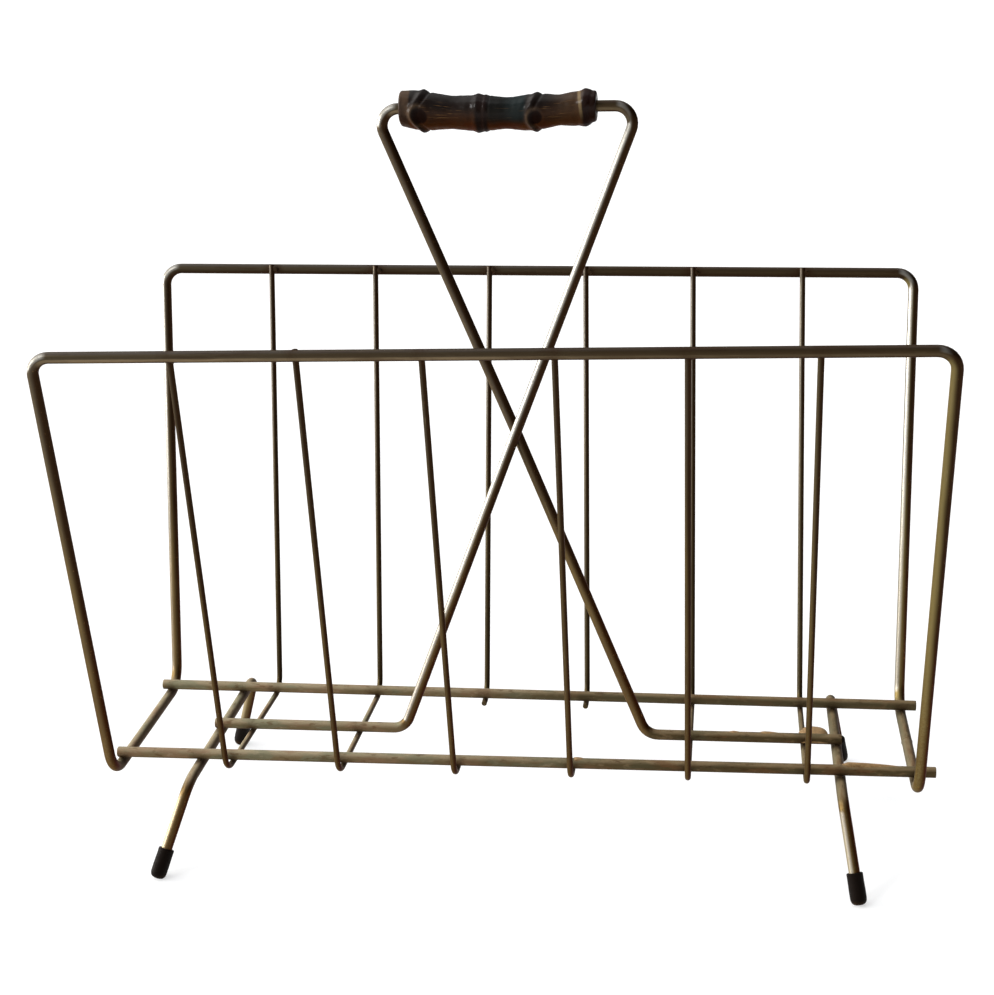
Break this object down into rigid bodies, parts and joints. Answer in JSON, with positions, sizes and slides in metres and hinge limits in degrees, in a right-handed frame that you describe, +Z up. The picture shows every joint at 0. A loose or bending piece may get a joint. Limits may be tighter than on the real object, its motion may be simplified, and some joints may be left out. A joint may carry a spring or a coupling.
{
  "type": "magazine rack",
  "caption": "Wire magazine rack with two open pockets, a crossed wire handle with a turning bamboo grip, and splayed legs in rubber caps.",
  "frame": {"origin": "on the ground under the middle of the rack, which is the middle of the bottom face of its box", "axes": "+X along the rack to the right, +Y from the front wall to the rear wall, +Z up"},
  "size_m": [0.4083, 0.2132, 0.3709],
  "materials": {
    "aged_brass": "steel wire with an aged brass plating, dark bronze to olive with bright worn spots",
    "black_rubber": "matte black rubber",
    "dark_bamboo": "smoked bamboo root with a worn satin varnish"
  },
  "bodies": {
    "frame": {"rim_frame": "aged_brass", "floor_rail_front": "aged_brass", "floor_rail_rear": "aged_brass", "handle_wire": "aged_brass", "foot_wire_left": "aged_brass", "foot_wire_right": "aged_brass", "basket_wire_1": "aged_brass", "basket_wire_2": "aged_brass", "front_wire_3": "aged_brass", "front_wire_4": "aged_brass", "rear_wire_3": "aged_brass", "rear_wire_4": "aged_brass", "basket_wire_5": "aged_brass", "basket_wire_6": "aged_brass", "foot_cap_front_left": "black_rubber", "foot_cap_front_right": "black_rubber", "foot_cap_rear_left": "black_rubber", "foot_cap_rear_right": "black_rubber"},
    "grip": {"bamboo_grip": "dark_bamboo"}
  },
  "joints": [
    {"name": "grip_spin", "type": "hinge", "parent": "frame", "child": "grip", "pos_m": [-0.0039, -0.00016, 0.3621], "axis": [0.9999, -0.0112, 0], "continuous": true}
  ]
}
